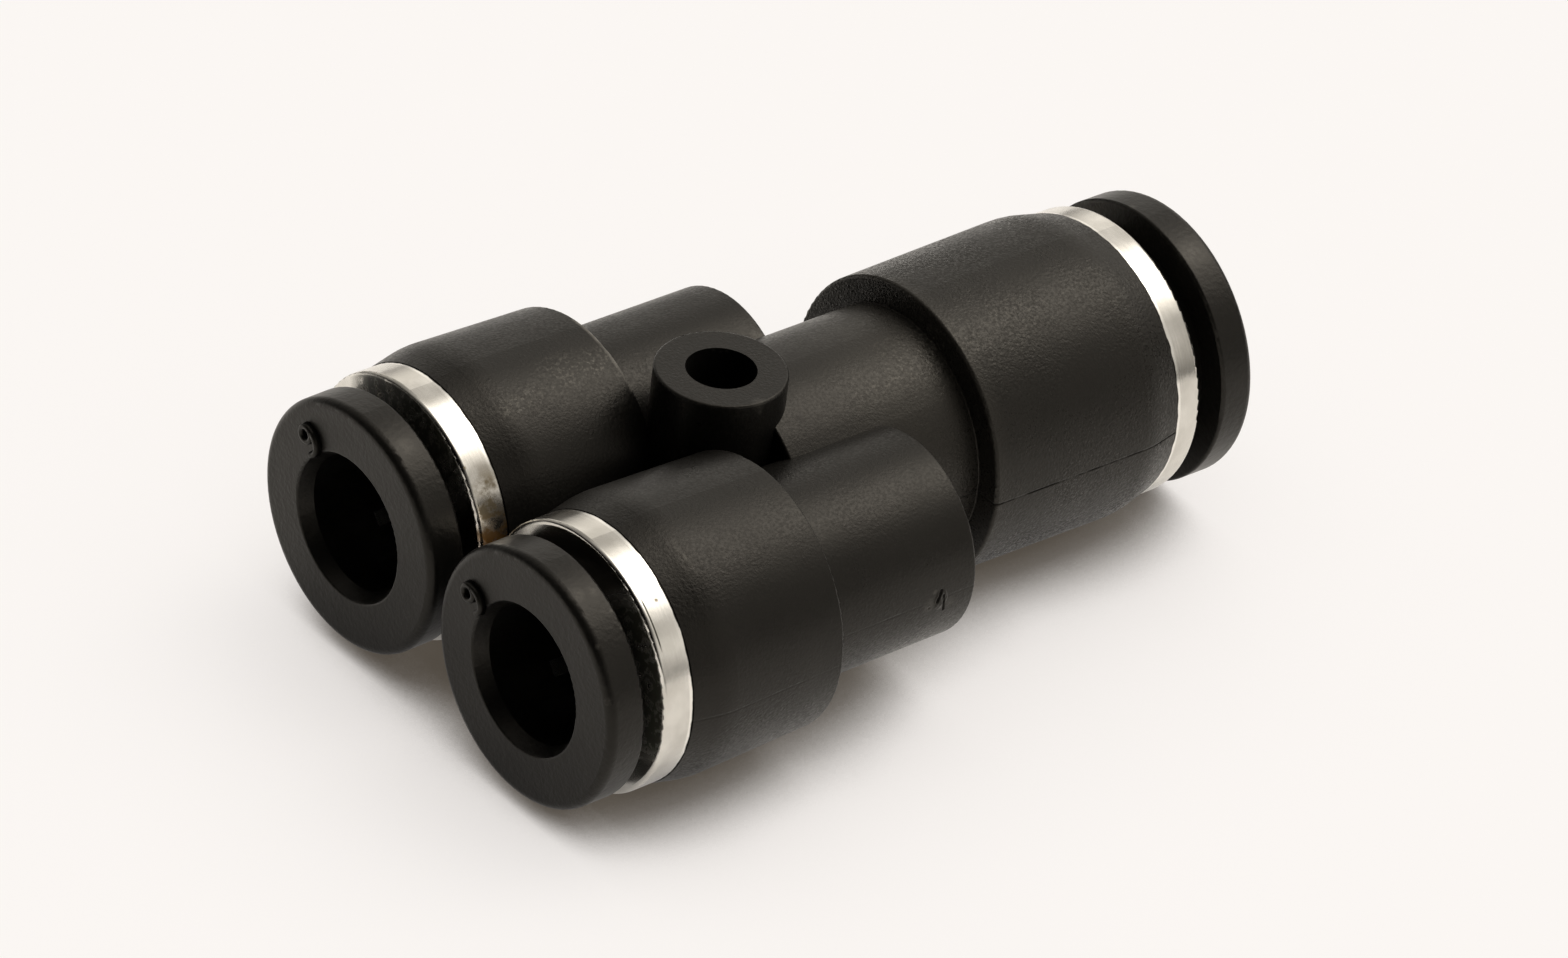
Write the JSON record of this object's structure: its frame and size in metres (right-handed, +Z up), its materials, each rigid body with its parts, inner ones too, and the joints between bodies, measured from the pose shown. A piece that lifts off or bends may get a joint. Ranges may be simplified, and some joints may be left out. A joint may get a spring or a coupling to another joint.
{
  "type": "tubing y connector",
  "caption": "Push-in reducing Y connector: one large tube port splits into two parallel smaller ones, with plated collars, sliding release rings and a fixing hole in the crotch.",
  "frame": {"origin": "on the fixing hole's axis at the moulding's mid-plane", "axes": "+X towards the common port's mouth, along all three tube axes; +Y to the left branch port; +Z up the fixing hole"},
  "size_m": [0.0406, 0.0252, 0.0142],
  "materials": {
    "body": "moulded, fine grain",
    "release_ring": "moulded, satin",
    "guide_ring": "nickel plated, turned",
    "lock_claw": "stamped stainless",
    "claw_seat": "moulded",
    "tube_seal": "moulded nitrile"
  },
  "bodies": {
    "body": {"y_body": "body", "left_guide_ring": "guide_ring", "left_lock_claw": "lock_claw", "left_claw_seat": "claw_seat", "left_tube_seal": "tube_seal", "right_guide_ring": "guide_ring", "right_lock_claw": "lock_claw", "right_claw_seat": "claw_seat", "right_tube_seal": "tube_seal", "common_guide_ring": "guide_ring", "common_lock_claw": "lock_claw", "common_claw_seat": "claw_seat", "common_tube_seal": "tube_seal"},
    "left_release": {"left_release_ring": "release_ring"},
    "right_release": {"right_release_ring": "release_ring"},
    "common_release": {"common_release_ring": "release_ring"}
  },
  "joints": [
    {"name": "left_release_push", "type": "slide", "parent": "body", "child": "left_release", "axis": [1, 0, 0], "range_m": [0, 0.0007], "stiffness_N_per_m": 1500},
    {"name": "right_release_push", "type": "slide", "parent": "body", "child": "right_release", "axis": [1, 0, 0], "range_m": [0, 0.0007], "stiffness_N_per_m": 1500},
    {"name": "common_release_push", "type": "slide", "parent": "body", "child": "common_release", "axis": [-1, 0, 0], "range_m": [0, 0.0013], "stiffness_N_per_m": 1500}
  ]
}
